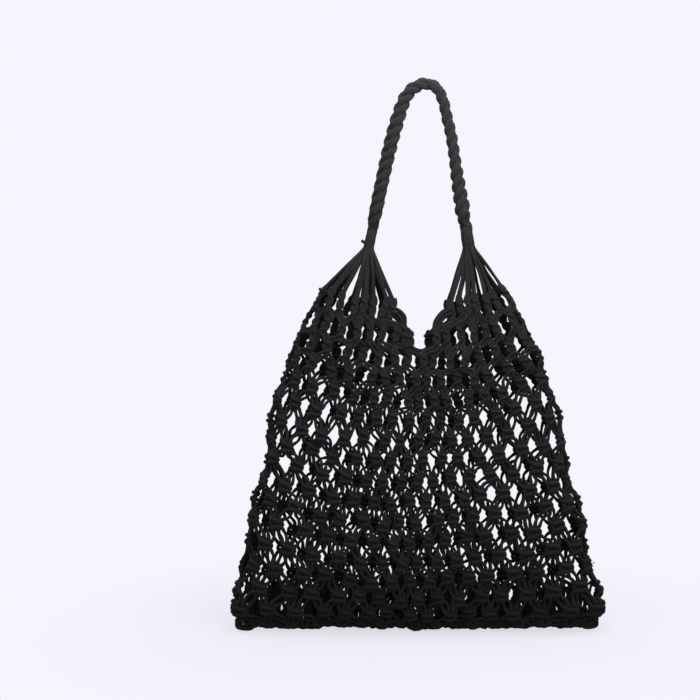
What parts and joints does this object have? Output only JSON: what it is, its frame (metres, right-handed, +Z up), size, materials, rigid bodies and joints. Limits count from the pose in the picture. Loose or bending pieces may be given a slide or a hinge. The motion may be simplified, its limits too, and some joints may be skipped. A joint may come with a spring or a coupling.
{
  "type": "knotted cord net bag",
  "caption": "Shoulder bag knotted from black cotton cord, with one plaited handle, fans of cord pairs and an open diamond net body closed by a bottom seam.",
  "frame": {"origin": "underside of the handle's arch, where the bag hangs", "axes": "+Z up, away from the hanging bag; +Y towards the back; +X to the right seen from the front"},
  "size_m": [0.3952, 0.1046, 0.5941],
  "materials": {
    "black_cotton_cord": "matte"
  },
  "bodies": {
    "root": {"handle": "black_cotton_cord", "net": "black_cotton_cord", "cord_ends": "black_cotton_cord", "fan_left_1": "black_cotton_cord", "fan_left_2": "black_cotton_cord", "fan_left_3": "black_cotton_cord", "fan_left_4": "black_cotton_cord", "fan_left_5": "black_cotton_cord", "fan_left_6": "black_cotton_cord", "fan_left_7": "black_cotton_cord", "fan_right_1": "black_cotton_cord", "fan_right_2": "black_cotton_cord", "fan_right_3": "black_cotton_cord", "fan_right_4": "black_cotton_cord", "fan_right_5": "black_cotton_cord", "fan_right_6": "black_cotton_cord", "fan_right_7": "black_cotton_cord"}
  },
  "joints": []
}
